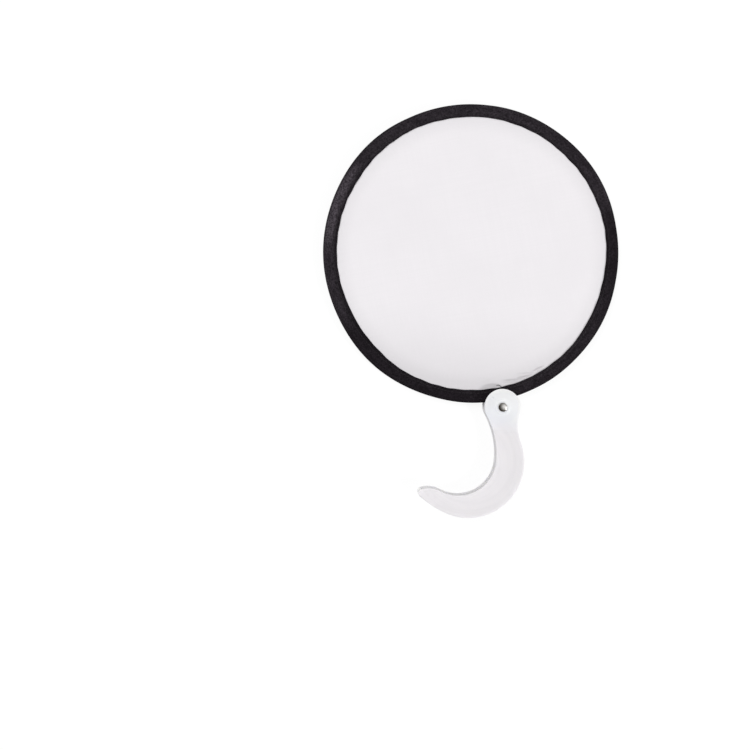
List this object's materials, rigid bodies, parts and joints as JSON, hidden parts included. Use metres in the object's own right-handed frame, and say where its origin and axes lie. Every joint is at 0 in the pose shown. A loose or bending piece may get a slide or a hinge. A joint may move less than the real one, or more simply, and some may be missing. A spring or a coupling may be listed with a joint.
{
  "type": "twist-folding hand fan",
  "caption": "Round fabric hand fan on a twist-folding sprung hoop, with a hooked channel handle that turns on one rivet and stows the folded hoop.",
  "frame": {"origin": "below the middle of the whole fan as it lies on its back with the handle turned as in the picture; z = 0 is the back face of the handle", "axes": "+Z out of the front of the fan; -Y from the hoop's centre to the rivet, which lies on X = 0; +X to the right seen from the front, so the hook opens towards -X"},
  "size_m": [0.2444, 0.3378, 0.012],
  "materials": {
    "white_fabric": "thin woven nylon, slightly see-through, soft sheen",
    "black_tape": "woven binding tape, low sheen, one stitched seam",
    "black_webbing": "doubled woven strap",
    "spring_steel": "drawn flat wire",
    "crimped_steel": "plated sleeve",
    "white_plastic": "frosted translucent moulding",
    "nickel": "bright nickel plate",
    "washer_steel": "plated, dull"
  },
  "bodies": {
    "handle": {"handle_front_shell": "white_plastic", "handle_rear_shell": "white_plastic", "pivot_rivet": "nickel", "rivet_washer": "washer_steel"},
    "hoop": {"membrane": "white_fabric", "rim_binding": "black_tape", "hoop_wire": "spring_steel", "hoop_ferrule": "crimped_steel", "pivot_tab": "black_webbing", "tab_eyelet": "nickel"}
  },
  "joints": [
    {"name": "hoop_swing", "type": "hinge", "parent": "handle", "child": "hoop", "pos_m": [0, -0.08403, 0.005], "axis": [0, 0, 1], "range_deg": [-53, 59]}
  ]
}
